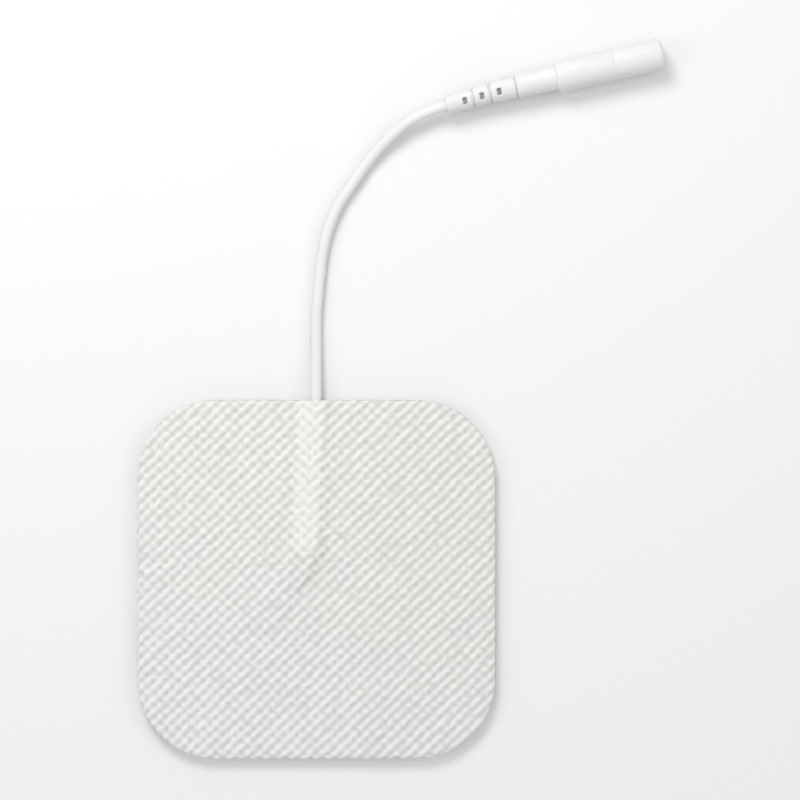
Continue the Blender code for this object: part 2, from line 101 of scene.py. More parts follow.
# The ridge over the lead and its strands
RIDGE_CLEARANCE = 0.03 * MM
RIDGE_THINNING = 0.1 * MM
RIDGE_CROWN = 0.35 * MM
RIDGE_LEFT_FOOT = 1.1 * MM
RIDGE_RIGHT_FOOT = 2.6 * MM
SHOULDER_OFFSET = 1.9 * MM
SHOULDER_CROWN = 0.3 * MM
SHOULDER_FOOT = 0.9 * MM
SHOULDER_SHARE = 0.32
STRAND_LEFT_FOOT = 2.6 * MM
STRAND_RIGHT_FOOT = 0.9 * MM
# A lighter band of the cloth beside the lead: the lead showing through, and a painted highlight on
# the ridge's lit left side.
SHOW_THROUGH_HIGHLIGHT_OFFSET = 0.7 * MM
SHOW_THROUGH_HIGHLIGHT_HALF = 1.3 * MM
SHOW_THROUGH_HIGHLIGHT_FOOT = 0.9 * MM
PULLED_OFFSET = 1.1 * MM
PULLED_HALF = 0.45 * MM
PULLED_SPREAD = 0.7 * MM
PULLED_FOOT = 0.7 * MM
TROUGH_FOOT = 1.3 * MM
CREASE = [(1.2, 8.0, 0.0), (1.1, 5.4, 0.04), (0.6, 3.2, 0.05), (-0.4, 1.0, 0.06),
          (-2.4, -1.2, 0.04), (-6.8, -4.4, 0.0)]
CREASE_HALF = 0.2 * MM
CREASE_FOOT = 1.2 * MM
CREASE_SHADE = 1.2
BESIDE_LENGTH = 17.0 * MM
BESIDE_NARROWING = 0.8
RIDGE_BLEND = 4
STRAND_STUB = 0.3 * MM
STRAND_LENGTH = 12.5 * MM
STRAND_KNEE = 2.5 * MM
STRAND_DROP = 4.0 * MM
STRAND_HEADING = math.radians(233.0)
STRAND_FAN = 0.2 * MM
STRAND_PITCH = 0.3 * MM
STRAND_RADIUS = 0.11 * MM
STRAND_STEPS = 10

# The socket
SOCKET_TIP = (48.2 * MM, 73.2 * MM)
SOCKET_HEADING = math.radians(12.6)
SOCKET_LENGTH = 30.9 * MM
RELIEF_LENGTH = 9.9 * MM
RELIEF_BOW = 0.46 * MM
NECK_END = 15.7 * MM
REAR_END = 23.9 * MM
FRONT_ROUNDING = 0.55 * MM
REAR_ROUNDING = 0.42 * MM
SOFT_EDGE = 0.12 * MM
SHARP_EDGE = 0.06 * MM
REAR_RING = [(0.0, 0.35), (0.04, 0.22), (0.1, 0.14), (0.1, 0.06), (0.02, 0.0), (0.0, -0.1)]
NECK_GROOVE_DEPTH = 0.32 * MM
RELIEF_ROWS = 96
BORE_ROWS = 24
SHELL_STEPS = 64
LEAD_BORE = 0.9 * MM
RELIEF_START_RADIUS = 1.35 * MM
RELIEF_END_RADIUS = 1.6 * MM
NECK_RADIUS = 1.7 * MM
BODY_RADIUS = 2.2 * MM
CONTACT_RADIUS = 1.3 * MM
CONTACT_BORE = 1.02 * MM
CONTACT_CAVITY = 1.4 * MM
CONTACT_EDGE = 0.08 * MM
CONTACT_LEAD_IN = 0.1 * MM
CONTACT_STEPS = 48
PIN_BORE_DEPTH = 10.8 * MM
SLIT_WIDTH = 0.3 * MM
SLIT_DEPTH = 5.0 * MM
MOUTH_RADIUS = 1.15 * MM
MOUTH_CHAMFER = 0.2 * MM
CAVITY_END = 30.2 * MM
CONTACT_TIP = 30.1 * MM
BARREL_START = 18.2 * MM
BARREL_CLEARANCE = 0.1 * MM
CRIMP_START = 13.6 * MM
CRIMP_DEPTH = 4.2 * MM
CRIMP_RADIUS = 0.76 * MM
CRIMP_BORE = 0.51 * MM
LEAD_INSERT_END = 13.3 * MM
WINDOW_COUNT = 6
WINDOW_START = 2.6 * MM
WINDOW_PITCH = 1.23 * MM
WINDOW_LENGTH = 0.62 * MM
WINDOW_WIDTH = 0.95 * MM
WINDOW_TURN = math.radians(11.0)
GROOVE_DEPTH = 0.3 * MM
GROOVE_FLOOR = 0.12 * MM
GROOVE_HALF = 0.24 * MM

# Painted shade: inside the moulding the lead's colour darkens over this reach to this tone, so it
# reads dark through the windows.
LEAD_SHADE_REACH = 1.8 * MM
LEAD_SHADE_TONE = 0.72
# Painted shade in the moulding's grooves, window walls and bore: the deeper a point lies, the
# darker, down to this tone.
RECESS_SHADE_TONE = 0.9
RECESS_DEPTH = 0.3 * MM
RECESS_MARGIN = 0.15 * MM
PLASTIC_SCATTER = 0.4
PLASTIC_SCATTER_LENGTH = 1.0 * MM

# The picture
VIEW_CENTER = (11.7 * MM, 25.0 * MM)
VIEW_WIDTH = 112.0 * MM
LENS = 120.0
SENSOR = 36.0
CLIP_START = 0.01
AMBIENT_HORIZON = 0.47
AMBIENT_ZENITH = 0.6
FLOOR_BOUNCE = 0.5
FLOOR_SOLID = 0.085
FLOOR_END = 0.28
FLOOR_DROP = 0.02 * MM
# Each lamp: azimuth and elevation in degrees, distance, size and power
LAMPS = {"key": (112.0, 47.0, 0.3, 0.13, 0.34), "left": (182.0, 38.0, 0.5, 0.2, 0.16),
         "right": (14.0, 38.0, 0.5, 0.2, 0.16), "front": (284.0, 24.0, 0.5, 0.2, 0.16)}


def smooth(t):
    t = min(max(t, 0.0), 1.0)
    return t * t * (3.0 - 2.0 * t)


def mix(a, b, t):
    return a + (b - a) * t


def camera():
    data = bpy.data.cameras.new("photo_camera")
    data.lens = LENS
    data.sensor_width = SENSOR
    data.clip_start = CLIP_START
    obj = bpy.data.objects.new("photo_camera", data)
    bpy.context.scene.collection.objects.link(obj)
    obj.location = (*VIEW_CENTER, VIEW_WIDTH * LENS / SENSOR)
    bpy.context.scene.camera = obj


def add_piece(name, data, mats):
    obj = bpy.data.objects.new(name, data)
    bpy.context.scene.collection.objects.link(obj)
    data.materials.clear()
    for mat in mats:
        data.materials.append(mat)
    return obj


class Nodes:
    """A material under construction: add() makes a node and sets its inputs."""

    def __init__(self, name):
        self.mat = bpy.data.materials.new(name)
        self.mat.use_nodes = True
        self.tree = self.mat.node_tree
        self.shader = self.tree.nodes["Principled BSDF"]
        self.coords = self.tree.nodes.new("ShaderNodeTexCoord").outputs["Object"]

    def add(self, kind, settings=None, **inputs):
        node = self.tree.nodes.new(kind)
        for key, value in (settings or {}).items():
            setattr(node, key, value)
        for key, value in inputs.items():
            socket = node.inputs[int(key[1:])] if key[0] == "_" else node.inputs[key]
            if isinstance(value, bpy.types.NodeSocket):
                self.tree.links.new(value, socket)
            else:
                socket.default_value = value
        return node.outputs[0]

    def set(self, **values):
        for key, value in values.items():
            socket = self.shader.inputs[key.replace("_", " ")]
            if isinstance(value, bpy.types.NodeSocket):
                self.tree.links.new(value, socket)
            else:
                socket.default_value = value

    def noise(self, size, detail, vector=None):
        return self.add("ShaderNodeTexNoise", Vector=vector or self.coords, Scale=1.0 / size,
                        Detail=detail, Roughness=0.5)

    def turned_coords(self, angle, stretch):
        return self.add("ShaderNodeMapping", Vector=self.coords, Rotation=(0.0, 0.0, angle),
                        Scale=(1.0 / stretch, 1.0, 1.0))

    def ramp(self, factor, stops):
        node = self.tree.nodes.new("ShaderNodeValToRGB")
        self.tree.links.new(factor, node.inputs[0])
        elements = node.color_ramp.elements
        while len(elements) < len(stops):
            elements.new(0.5)
        for element, (place, color) in zip(elements, stops):
            element.position = place
            element.color = (*color, 1.0)
        return node.outputs[0]

    def math(self, operation, a, b, c=0.5):
        return self.add("ShaderNodeMath", {"operation": operation}, _0=a, _1=b, _2=c)

    def across(self, slopes):
        """Rises over the object by the given slopes for each metre."""
        node = self.tree.nodes.new("ShaderNodeVectorMath")
        node.operation = "DOT_PRODUCT"
        self.tree.links.new(self.coords, node.inputs[0])
        node.inputs[1].default_value = slopes
        return node.outputs["Value"]

    def multiply(self, a, b):
        node = self.tree.nodes.new("ShaderNodeMix")
        node.data_type = "RGBA"
        node.blend_type = "MULTIPLY"
        node.inputs["Factor"].default_value = 1.0
        self.tree.links.new(a, node.inputs[6])
        self.tree.links.new(b, node.inputs[7])
        return node.outputs[2]

    def attribute(self, name):
        node = self.tree.nodes.new("ShaderNodeAttribute")
        node.attribute_name = name
        return node.outputs["Fac"]

    def bump(self, height, distance, strength):
        self.set(Normal=self.add("ShaderNodeBump", Height=height, Distance=distance,
                                 Strength=strength))


def gray(value, warm=0.0):
    return (value * (1.0 + warm), value, value * (1.0 - warm))


def cloth_material():
    n = Nodes("backing_cloth")
    patches = n.noise(6.0 * MM, 3.0)
    flecks = n.noise(0.7 * MM, 2.0)
    fibres = n.noise(0.16 * MM, 3.0)
    # The cloth's colour: darker in the rib grooves, partly the dark film showing through the thin
    # cloth and partly painted shade, with painted shade along the crease.
    weave_and_shade_share, show_through_highlight_share, offset = 0.7, 0.24, -0.09
    thick_and_shade = n.math("MULTIPLY_ADD", n.attribute("weave"), weave_and_shade_share, offset)
    for share, tone in ((0.12, patches), (0.32, flecks), (0.15, fibres)):
        thick_and_shade = n.math("MULTIPLY_ADD", tone, share, thick_and_shade)
    # Lighter beside the lead: partly the lead showing through, partly a painted highlight on the
    # ridge's lit left flank.
    white = n.math("MULTIPLY_ADD", n.attribute("show_through_highlight"), show_through_highlight_share, thick_and_shade)
    thread_and_shade = n.ramp(white, [(0.1, (0.64, 0.65, 0.627)), (0.8, (0.97, 0.975, 0.952)),
                            (1.0, (0.985, 0.986, 0.97))])
    # A painted warm cast of the lamp: warmer towards +X and +Y, with random patches.
    warm_light_tint = n.ramp(n.math("ADD", n.across((6.0, 16.0, 0.0)), patches),
                  [(0.0, (0.988, 0.994, 1.0)), (1.0, (1.0, 0.998, 0.976))])
    n.set(Base_Color=n.multiply(thread_and_shade, warm_light_tint))
    thread_size, thread_stretch = 0.14 * MM, 5.0
    along = n.noise(thread_size, 2.0, n.turned_coords(math.radians(-45.0), thread_stretch))
    across = n.noise(thread_size, 2.0, n.turned_coords(math.radians(45.0), thread_stretch))
    threads = n.math("ADD", along, across)
    n.bump(n.math("ADD", threads, fibres), 0.05 * MM, 0.7)
    n.set(Roughness=0.9, Sheen_Weight=0.15, Sheen_Roughness=0.5, Specular_IOR_Level=0.2)
    return n.mat


def gel_material():
    n = Nodes("hydrogel")
    clouds = n.noise(3.0 * MM, 3.0)
    n.set(Base_Color=n.ramp(clouds, [(0.3, (0.88, 0.92, 0.92)), (0.7, (0.94, 0.96, 0.96))]))
    n.bump(n.noise(1.5 * MM, 4.0), 0.02 * MM, 0.5)
    n.set(Roughness=0.15, IOR=1.38, Transmission_Weight=0.3)
    n.set(Subsurface_Weight=0.8, Subsurface_Scale=1.5 * MM, Subsurface_Radius=(1.0, 1.0, 1.0))
    return n.mat


def film_material():
    n = Nodes("carbon_film")
    grain = n.noise(0.2 * MM, 4.0)
    n.set(Base_Color=n.ramp(grain, [(0.3, gray(0.012)), (0.7, gray(0.03))]))
    n.bump(grain, 0.01 * MM, 0.6)
    n.set(Roughness=0.5)
    return n.mat


def plastic_material(name, tone, warm, roughness, grain_size, inside=None):
    n = Nodes(name)
    clouds = n.noise(2.5 * MM, 3.0)
    grain = n.noise(grain_size, 3.0)
    color = n.ramp(clouds, [(0.3, gray(tone - 0.02, warm)), (0.7, gray(tone, warm))])
    # Painted shade: the lead darkens along the socket inside the moulding, so it reads dark through
    # the windows.
    if inside == "lead":
        along = socket_frame().col[2].to_3d()
        start = along.dot(socket_frame().translation)
        depth = n.math("SUBTRACT", n.across(along / LEAD_SHADE_REACH), start / LEAD_SHADE_REACH)
        color = n.multiply(color, n.ramp(depth, [(0.0, gray(1.0)), (1.0, gray(LEAD_SHADE_TONE))]))
    # Painted shade: the moulding darkens in its grooves, window walls and bore.
    if inside == "moulding":
        recess_shade = n.ramp(n.attribute("recess_shade"), [(0.0, gray(1.0)), (1.0, gray(RECESS_SHADE_TONE))])
        color = n.multiply(color, recess_shade)
    n.set(Base_Color=color)
    spread = 0.15
    least = roughness - 0.07
    n.set(Roughness=n.math("ADD", n.math("MULTIPLY", grain, spread), least))
    n.bump(grain, 0.01 * MM, 0.35)
    n.set(Subsurface_Weight=PLASTIC_SCATTER, Subsurface_Scale=PLASTIC_SCATTER_LENGTH,
          Subsurface_Radius=(1.0, 0.95, 0.9))
    return n.mat


def metal_material(name, color, roughness, brush_size):
    n = Nodes(name)
    brushed = n.noise(brush_size, 3.0, n.turned_coords(math.pi / 2 - SOCKET_HEADING, 12.0))
    darker = tuple(0.85 * value for value in color)
    n.set(Base_Color=n.ramp(brushed, [(0.35, darker), (0.65, color)]))
    n.bump(brushed, 0.008 * MM, 0.4)
    n.set(Metallic=1.0, Roughness=roughness)
    return n.mat


def seen_directly(tree):
    """1 for what the camera, a gloss or a clear body sees, 0 for light that bounces."""
    path = tree.nodes.new("ShaderNodeLightPath").outputs
    total = path["Is Camera Ray"]
    for other in ("Is Glossy Ray", "Is Transmission Ray"):
        either = tree.nodes.new("ShaderNodeMath")
        either.operation = "MAXIMUM"
        tree.links.new(total, either.inputs[0])
        tree.links.new(path[other], either.inputs[1])
        total = either.outputs[0]
    return total


def floor_material():
    n = Nodes("studio_floor")
    n.set(Base_Color=n.ramp(seen_directly(n.tree), [(0.0, gray(FLOOR_BOUNCE)), (1.0, gray(1.0))]))
    far = n.tree.nodes.new("ShaderNodeVectorMath")
    far.operation = "LENGTH"
    n.tree.links.new(n.coords, far.inputs[0])
    fade = n.add("ShaderNodeMapRange", {"interpolation_type": "SMOOTHSTEP"},
                 Value=far.outputs["Value"], _1=FLOOR_SOLID, _2=FLOOR_END, _3=1.0, _4=0.0)
    n.set(Alpha=fade)
    n.set(Roughness=0.95, Specular_IOR_Level=0.0)
    return n.mat


def socket_frame():
    """The socket's axes: local Z along it towards the mouth, local X up."""
    along = Vector((math.cos(SOCKET_HEADING), math.sin(SOCKET_HEADING), 0.0))
    up = Vector((0.0, 0.0, 1.0))
    place = Matrix((up, along.cross(up), along)).transposed().to_4x4()
    place.translation = Vector((*SOCKET_TIP, BODY_RADIUS)) - along * SOCKET_LENGTH
    return place


def relief_bow(z):
    left = max(RELIEF_LENGTH - z, 0.0) / RELIEF_LENGTH
    return RELIEF_BOW * left * left


def lead_height(y):
    down = smooth((y - PAD_SIDE / 2) / DROP_LENGTH)
    up = smooth((y - socket_frame().translation.y + RISE_LENGTH) / RISE_LENGTH)
    return mix(mix(LEAD_LEVEL, LEAD_RADIUS, down), BODY_RADIUS, up)


def smooth_through(points, spacing):
    """Evenly spaced points on a Catmull-Rom curve through the given ones."""
    ends = [2 * points[0] - points[1]] + points + [2 * points[-1] - points[-2]]
    fine = []
    for a, b, c, d in zip(ends, ends[1:], ends[2:], ends[3:]):
        for step in range(CURVE_STEPS):
            t = step / CURVE_STEPS
            bend = (2 * a - 5 * b + 4 * c - d) * t * t + (3 * b - a - 3 * c + d) * t ** 3
            fine.append((2 * b + (c - a) * t + bend) / 2)
    fine.append(points[-1])
    lengths = [0.0]
    for a, b in zip(fine, fine[1:]):
        lengths.append(lengths[-1] + (b - a).length)
    count = max(2, round(lengths[-1] / spacing))
    result = []
    index = 0
    for step in range(count + 1):
        target = lengths[-1] * step / count
        while index < len(fine) - 2 and lengths[index + 1] < target:
            index += 1
        share = (target - lengths[index]) / (lengths[index + 1] - lengths[index])
        result.append(fine[index].lerp(fine[index + 1], share))
    return result


def lead_points():
    route = [Vector((x * MM, y * MM, lead_height(y * MM))) for x, y in ROUTE]
    steps = math.ceil(LEAD_INSERT_END / LEAD_STEP)
    place = socket_frame()
    inside = []
    for step in range(steps + 1):
        z = step / steps * LEAD_INSERT_END
        inside.append(place @ Vector((0.0, relief_bow(z), z)))
    outside = smooth_through(route + inside[:1], LEAD_STEP)
    for point in outside:
        point.z = max(point.z, LEAD_RADIUS)
    return outside + inside[1:]


def lead_piece(mat):
    curve = bpy.data.curves.new("lead", "CURVE")
    curve.dimensions = "3D"
    curve.bevel_depth = LEAD_RADIUS
    curve.bevel_resolution = 8
    curve.use_fill_caps = True
    points = lead_points()
    spline = curve.splines.new("POLY")
    spline.points.add(len(points) - 1)
    for point, place in zip(spline.points, points):
        point.co = (*place, 1.0)
    spline.use_smooth = True
    lead = add_piece("lead", curve, [mat])
    length = sum((b - a).length for a, b in zip(points, points[1:]))
    return lead, length


def lead_end_frame():
    end = Vector(ROUTE[0]) * MM
    return end, (end - Vector(ROUTE[1]) * MM).normalized()


def strand_center(t):
    end, heading = lead_end_frame()
    start = end + heading * STRAND_STUB
    knee = start + heading * STRAND_KNEE
    away = Vector((math.cos(STRAND_HEADING), math.sin(STRAND_HEADING)))
    tip = knee + away * (STRAND_LENGTH - STRAND_KNEE)
    return start.lerp(knee, t).lerp(knee.lerp(tip, t), t)


def buried_path():
    """Lead and strands in plan: place, half width, top above the cloth, sinking, fall."""
    end, heading = lead_end_frame()
    lead_top = LEAD_LEVEL + LEAD_RADIUS - CLOTH_BOTTOM
    path = []
    beyond, edge = Vector((0.0, PAD_SIDE)), Vector((0.0, PAD_SIDE / 2))
    for place in (beyond, edge, end + heading * STRAND_STUB):
        path.append((place, RIDGE_CROWN, lead_top, LEAD_SINK, 0.0))
    for step in range(1, STRAND_STEPS + 1):
        t = step / STRAND_STEPS
        fall = smooth(t * STRAND_LENGTH / STRAND_DROP)
        top = mix(lead_top, 2 * STRAND_RADIUS, fall)
        spread = mix(STRAND_PITCH, 3 * STRAND_PITCH, fall) + 3 * STRAND_FAN * t * t
        path.append((strand_center(t), spread + STRAND_RADIUS, top, LEAD_SINK * (1 - fall), fall))
    return path


def ridge_rows():
    """Rows for swell() of the cloth's ridge: place, half width, height, left and right foot."""
    return [(place, half, top + RIDGE_CLEARANCE, mix(RIDGE_RIGHT_FOOT, STRAND_RIGHT_FOOT, fall),
             mix(RIDGE_LEFT_FOOT, STRAND_LEFT_FOOT, fall))
            for place, half, top, _, fall in buried_path()]


def shoulder_rows():
    """Rows for swell() of the low shoulder beside the lead, a fold of the cloth."""
    rows = []
    for place, _, top, _, fall in buried_path():
        side = Vector((-SHOULDER_OFFSET, 0.0)) * (1.0 - fall)
        rows.append((place + side, SHOULDER_CROWN, top * SHOULDER_SHARE * (1.0 - fall),
                     SHOULDER_FOOT, SHOULDER_FOOT))
    return rows


def beside_rows(offset, half, foot, spread=0.0):
    """Rows for swell() of a band of height 1 beside the lead, wider inwards."""
    rows = []
    for place, _, _, _, fall in buried_path():
        wider = spread * smooth((PAD_SIDE / 2 - place.y) / BESIDE_LENGTH)
        side = Vector((-offset - wider, 0.0))
        narrowed = (half + wider) * (1.0 - BESIDE_NARROWING * fall)
        rows.append((place + side * (1.0 - fall), narrowed, 1.0 - fall, foot, foot))
    return rows


def crease_rows():
    """Rows for swell() of the fold's depth where the cloth comes down beside the strands."""
    return [(Vector((x, y)) * MM, CREASE_HALF, depth * MM, CREASE_FOOT, CREASE_FOOT)
            for x, y, depth in CREASE]


def trough_rows():
    return [(place, half, sink, TROUGH_FOOT, TROUGH_FOOT)
            for place, half, _, sink, _ in buried_path()]


def swell(xs, ys, rows):
    """Heights of a smooth ridge along the rows' places, for arrays of places in plan."""
    height = np.zeros_like(xs)
    for first, second in zip(rows, rows[1:]):
        a = first[0]
        along = second[0] - a
        t = ((xs - a.x) * along.x + (ys - a.y) * along.y) / along.length_squared
        t = np.clip(t, 0.0, 1.0)
        off_x = xs - a.x - along.x * t
        off_y = ys - a.y - along.y * t
        distance = np.maximum(np.hypot(off_x, off_y), 1e-9)
        turn = (along.x * off_y - along.y * off_x) / (distance * along.length)
        half, top, left, right = (u + (v - u) * t for u, v in zip(first[1:], second[1:]))
        foot = right + (left - right) * (0.5 + 0.5 * turn)
        share = np.clip((distance - half) / foot, 0.0, 1.0)
        height = np.maximum(height, top * (1.0 - share * share * (3.0 - 2.0 * share)))
    return height


def edge_distance(xs, ys):
    """Distance inside the rounded square's outline, negative outside it."""
    reach = PAD_SIDE / 2 - PAD_CORNER_RADIUS
    qx = np.abs(xs) - reach
    qy = np.abs(ys) - reach
    outside = np.hypot(np.maximum(qx, 0.0), np.maximum(qy, 0.0))
    return PAD_CORNER_RADIUS - outside - np.minimum(np.maximum(qx, qy), 0.0)


def outward(xs, ys):
    """Unit direction out of the outline at places near it."""
    reach = PAD_SIDE / 2 - PAD_CORNER_RADIUS
    qx = np.maximum(np.abs(xs) - reach, 0.0)
    qy = np.maximum(np.abs(ys) - reach, 0.0)
    size = np.maximum(np.hypot(qx, qy), 1e-9)
    return np.sign(xs) * qx / size, np.sign(ys) * qy / size


def outline_grid(step, inset=0.0):
    """A square grid cut to the outline: plan points and quads."""
    count = round(PAD_SIDE / step)
    axis = np.linspace(-PAD_SIDE / 2, PAD_SIDE / 2, count + 1)
    xs, ys = np.meshgrid(axis, axis)
    xs = xs.ravel()
    ys = ys.ravel()
    distance = edge_distance(xs, ys)
    outer = distance < SNAP_SHARE * step
    out_x, out_y = outward(xs, ys)
    xs = np.where(outer, xs + out_x * distance, xs)
    ys = np.where(outer, ys + out_y * distance, ys)
    corners = np.arange((count + 1) * count).reshape(count, count + 1)[:, :-1].ravel()
    quads = np.stack([corners, corners + 1, corners + count + 2, corners + count + 1], axis=1)
    quads = quads[~outer[quads].all(axis=1)]
    used = np.unique(quads)
    renumber = np.zeros(xs.size, dtype=int)
    renumber[used] = np.arange(used.size)
    scale = (PAD_SIDE - 2 * inset) / PAD_SIDE
    return xs[used] * scale, ys[used] * scale, renumber[quads]


def border_edges(quads):
    edges = {}
    for quad in quads.tolist():
        for a, b in zip(quad, quad[1:] + quad[:1]):
            if (b, a) in edges:
                del edges[(b, a)]
            else:
                edges[(a, b)] = True
    return list(edges)


def slab_mesh(name, xs, ys, quads, top, bottom, rings, paint=()):
    """A closed slab: the top grid, walls through rings of (share down, bulge), the underside."""
    verts = np.stack([xs, ys, top], axis=1).tolist()
    faces = quads.tolist()
    count = len(verts)
    verts += np.stack([xs, ys, bottom], axis=1).tolist()
    faces += (quads[:, ::-1] + count).tolist()
    edges = border_edges(quads)
    rim = sorted({a for a, _ in edges})
    out_x, out_y = outward(xs, ys)
    levels = [{index: index for index in rim}]
    for share, bulge in rings:
        level = {}
        for index in rim:
            level[index] = len(verts)
            verts.append([xs[index] + out_x[index] * bulge, ys[index] + out_y[index] * bulge,
                          mix(top[index], bottom[index], share)])
        levels.append(level)
    levels.append({index: index + count for index in rim})
    for upper, lower in zip(levels, levels[1:]):
        faces += [[upper[b], upper[a], lower[a], lower[b]] for a, b in edges]
    mesh = bpy.data.meshes.new(name)
    mesh.from_pydata(verts, [], faces)
    for layer, values in dict(paint).items():
        spread = np.full(len(verts), UNPAINTED)
        spread[:count] = values
        mesh.attributes.new(layer, "FLOAT", "POINT").data.foreach_set("value", spread)
    bm = bmesh.new()
    bm.from_mesh(mesh)
    bm.verts.ensure_lookup_table()
    under = bm.verts[count:2 * count]
    bmesh.ops.dissolve_limit(bm, angle_limit=FLAT_ANGLE, verts=under, edges=[])
    bm.to_mesh(mesh)
    bm.free()
    mesh.shade_smooth()
    mesh.set_sharp_from_angle(angle=SLAB_SHARP_ANGLE)
    return mesh


def lattice_noise(xs, ys, size, seed):
    """Smooth noise from -1 to 1, for arrays of places."""
    return np.array([noise.noise(Vector((x / size, y / size, seed)))
                     for x, y in zip(xs.tolist(), ys.tolist())])


def varied(xs, ys, middle, swing, size, seed):
    return middle + swing * lattice_noise(xs, ys, size, seed)


def weave_height(xs, ys):
    """Heights of the two families of ribs. Beside the lead the cloth is pulled the other way."""
    pulled = swell(xs, ys, beside_rows(PULLED_OFFSET, PULLED_HALF, PULLED_FOOT, PULLED_SPREAD))
    pulled = pulled * varied(xs, ys, *PULLED_VARIES)
    lean = np.clip((xs + LEAN_WIDTH) / (2 * LEAN_WIDTH), 0.0, 1.0)
    rib = RIB_HEIGHT * (1.0 - PULLED_LOSS * pulled)
    cross_rib = CROSS_RIB_HEIGHT * (CROSS_LEFT - CROSS_LOSS * lean) * (1.0 + PULLED_GAIN * pulled)
    drift = varied(xs, ys, *RIBS_DRIFT)
    rib_phase = 2 * math.pi * (xs / LATTICE_X - ys / LATTICE_Y) + drift
    cross_phase = 2 * math.pi * (xs / LATTICE_X + ys / LATTICE_Y) - drift
    ribs = (0.5 + 0.5 * np.cos(rib_phase)) ** RIB_POWER
    cross = (0.5 + 0.5 * np.cos(cross_phase)) ** RIB_POWER
    uneven = varied(xs, ys, *RIBS_VARY)
    knots = varied(xs, ys, *KNOTS_VARY)
    return rib * ribs * uneven + cross_rib * cross * knots


def frayed(xs, ys):
    """The grid with its border drawn in a little here and there, as cut cloth is."""
    close = np.clip(1.0 - edge_distance(xs, ys) / EDGE_PINCH, 0.0, 1.0)
    inward = EDGE_FRAY * close * varied(xs, ys, *EDGE_VARIES)
    out_x, out_y = outward(xs, ys)
    return xs - out_x * inward, ys - out_y * inward


def cloth_piece(mat):
    xs, ys, quads = outline_grid(CLOTH_STEP)
    xs, ys = frayed(xs, ys)
    ridge = swell(xs, ys, ridge_rows())
    shoulder = swell(xs, ys, shoulder_rows())
    ridge = (ridge ** RIDGE_BLEND + shoulder ** RIDGE_BLEND) ** (1 / RIDGE_BLEND)
    distance = edge_distance(xs, ys)
    pinch = np.clip(distance / EDGE_PINCH, 0.0, 1.0)
    pinch = pinch * (2.0 - pinch)
    bottom = CLOTH_BOTTOM + ridge
    weave = weave_height(xs, ys)
    top = bottom + CLOTH_THICKNESS + weave * mix(EDGE_RIB_SHARE, 1.0, pinch)
    crease = swell(xs, ys, crease_rows())
    top -= EDGE_DROP * (1.0 - pinch) + RIDGE_THINNING * ridge / ridge.max() + crease
    # The weave paint, with painted shade along the crease.
    paint = {"weave": (weave - CREASE_SHADE * crease) / (RIB_HEIGHT + CROSS_RIB_HEIGHT),
             "show_through_highlight": swell(xs, ys, beside_rows(SHOW_THROUGH_HIGHLIGHT_OFFSET, SHOW_THROUGH_HIGHLIGHT_HALF,
                                                SHOW_THROUGH_HIGHLIGHT_FOOT))}
    mesh = slab_mesh("cloth", xs, ys, quads, top, bottom, [(0.5, CLOTH_BULGE)], paint)
    return add_piece("cloth", mesh, [mat])


def gel_piece(mat):
    xs, ys, quads = outline_grid(GEL_STEP, inset=GEL_INSET)
    top = GEL_THICKNESS - swell(xs, ys, trough_rows())
    mesh = slab_mesh("gel", xs, ys, quads, top, np.zeros_like(xs), GEL_RINGS)
    return add_piece("gel", mesh, [mat])


def turned_mesh(name, profile, steps):
    """A closed profile of (radius, height) points turned about local Z, as a mesh."""
    mesh = bpy.data.meshes.new(name)
    bm = bmesh.new()
    verts = [bm.verts.new((radius, 0.0, height)) for radius, height in profile]
    for a, b in zip(verts, verts[1:] + verts[:1]):
        bm.edges.new((a, b))
    bmesh.ops.spin(bm, geom=bm.verts[:] + bm.edges[:], axis=(0, 0, 1), cent=(0, 0, 0),
                   dvec=(0, 0, 0), angle=2 * math.pi, steps=steps, use_merge=True)
    bmesh.ops.remove_doubles(bm, verts=bm.verts, dist=1e-6)
    bmesh.ops.recalc_face_normals(bm, faces=bm.faces)
    bm.to_mesh(mesh)
    bm.free()
    return mesh


def round_corner(profile, center, radius, start, end, steps=5):
    for step in range(steps + 1):
        angle = math.radians(mix(start, end, step / steps))
        profile.append((center[0] + radius * math.cos(angle), center[1] + radius * math.sin(angle)))


def groove_depth(z):
    """Shallow grooves round the strain relief, in line with its side windows."""
    depth = 0.0
    for index in range(1, WINDOW_COUNT - 1, 2):
        off = abs(z - WINDOW_START - index * WINDOW_PITCH)
        share = (off - GROOVE_FLOOR) / (GROOVE_HALF - GROOVE_FLOOR)
        depth = max(depth, GROOVE_DEPTH * (1.0 - smooth(share)))
    return depth


